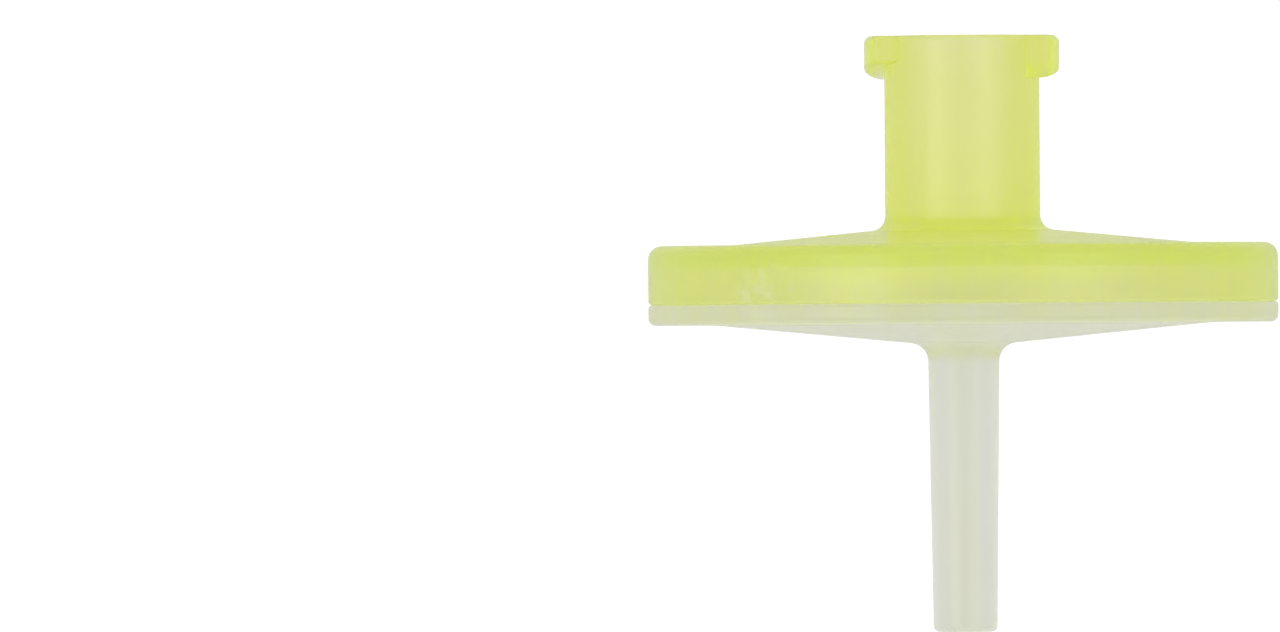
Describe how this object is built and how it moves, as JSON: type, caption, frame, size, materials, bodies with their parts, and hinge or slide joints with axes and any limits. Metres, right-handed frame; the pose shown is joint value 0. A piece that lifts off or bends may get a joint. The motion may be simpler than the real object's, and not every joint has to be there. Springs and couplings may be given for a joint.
{
  "type": "syringe filter",
  "caption": "Round syringe filter with a translucent yellow luer-lock inlet shell, a milky outlet shell with a slim tube tip, and a membrane disc clamped inside.",
  "frame": {"origin": "centre of the luer socket's mouth, on the inlet hub's end face", "axes": "+Z along the axis out of the luer mouth, towards the syringe; the two locking lugs point along +X and -X"},
  "size_m": [0.0252, 0.0252, 0.0238],
  "materials": {
    "inlet_plastic": "glossy translucent neon yellow polypropylene",
    "outlet_plastic": "semi-gloss milky natural polypropylene",
    "membrane": "matt white porous film"
  },
  "bodies": {
    "root": {"inlet_housing": "inlet_plastic", "outlet_housing": "outlet_plastic", "membrane": "membrane"}
  },
  "joints": []
}
